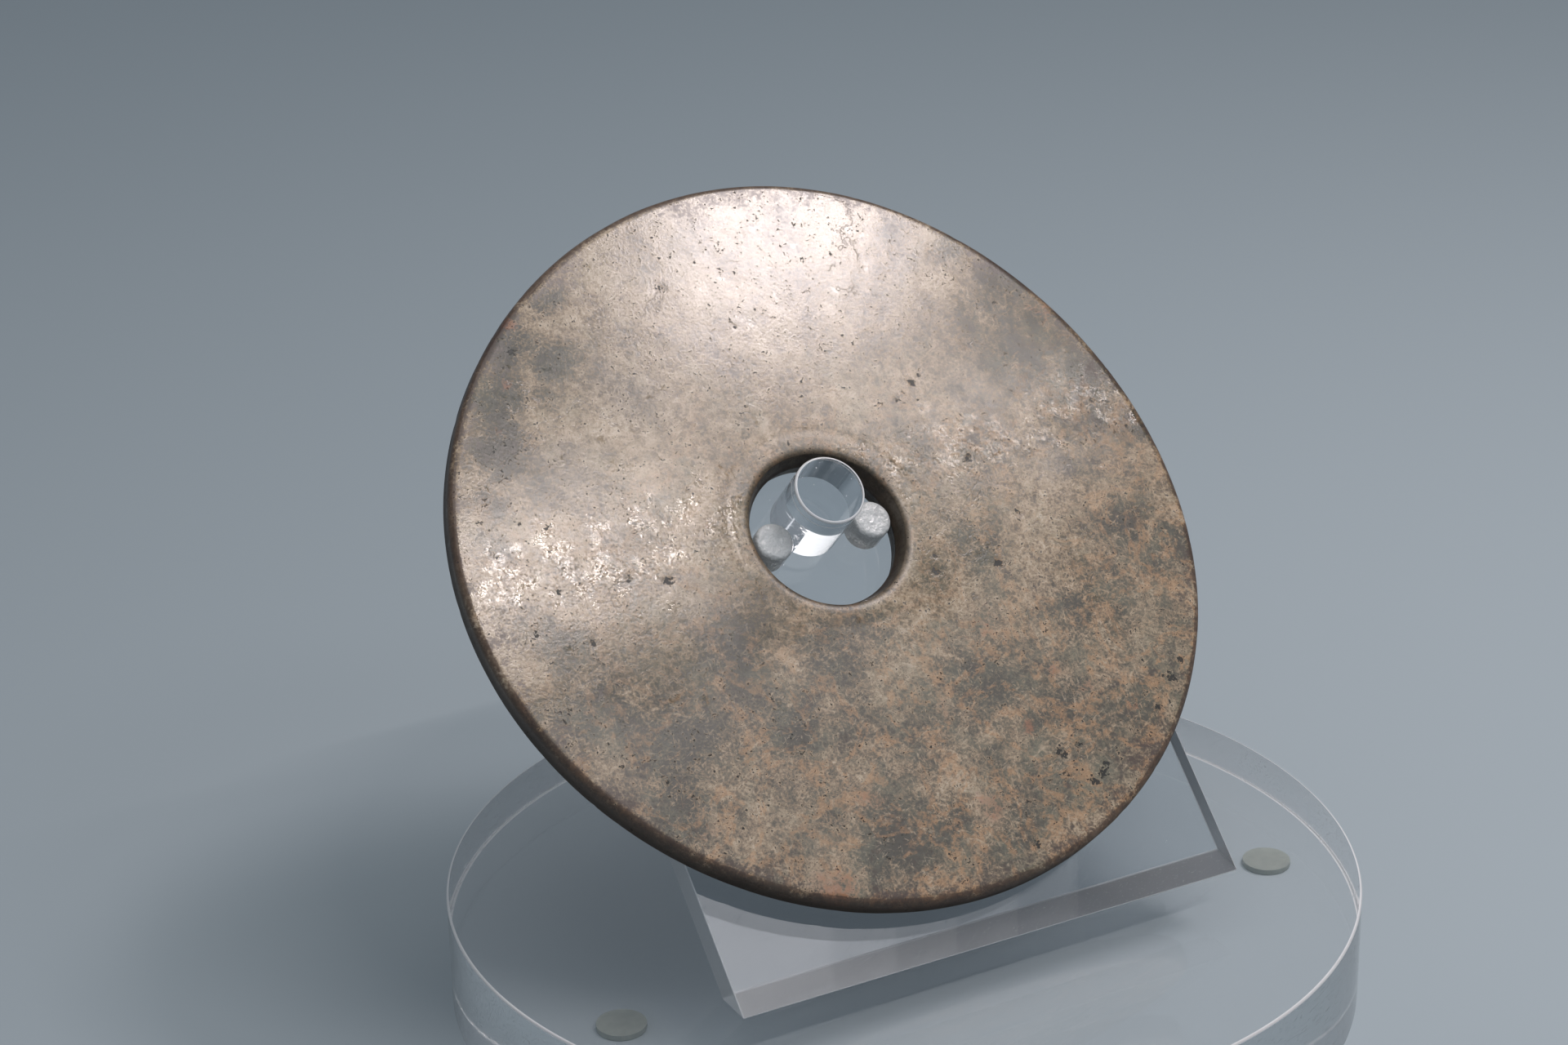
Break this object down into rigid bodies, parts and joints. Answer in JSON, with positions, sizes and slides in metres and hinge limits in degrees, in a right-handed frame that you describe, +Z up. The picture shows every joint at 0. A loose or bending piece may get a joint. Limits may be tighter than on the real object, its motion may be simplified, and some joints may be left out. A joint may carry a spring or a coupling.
{
  "type": "jade bi disc",
  "caption": "Plain round stone disc with a round central hole, worn and mottled, leaning on a tilted clear sheet with pegs through its hole, on a thick round clear base.",
  "frame": {"origin": "on the table under the middle of the round base, at the undersides of its pads", "axes": "+Z up, front towards -Y, +X along the tilted sheet's lower edge"},
  "size_m": [0.232, 0.232, 0.1846],
  "materials": {
    "jade": "worn polish, mottled beige, brown and grey-green with dark pits",
    "clear_acrylic": "clear, polished faces and edges",
    "frosted_acrylic": "frosted, translucent",
    "pad_silicone": "translucent, matt"
  },
  "bodies": {
    "root": {"bi_disc": "jade", "base_disc": "clear_acrylic", "easel_plate": "clear_acrylic", "through_peg": "clear_acrylic", "left_bumper": "frosted_acrylic", "right_bumper": "frosted_acrylic", "foot_pad_left": "pad_silicone", "foot_pad_right": "pad_silicone", "foot_pad_back": "pad_silicone", "foot_pad_front": "pad_silicone"}
  },
  "joints": []
}
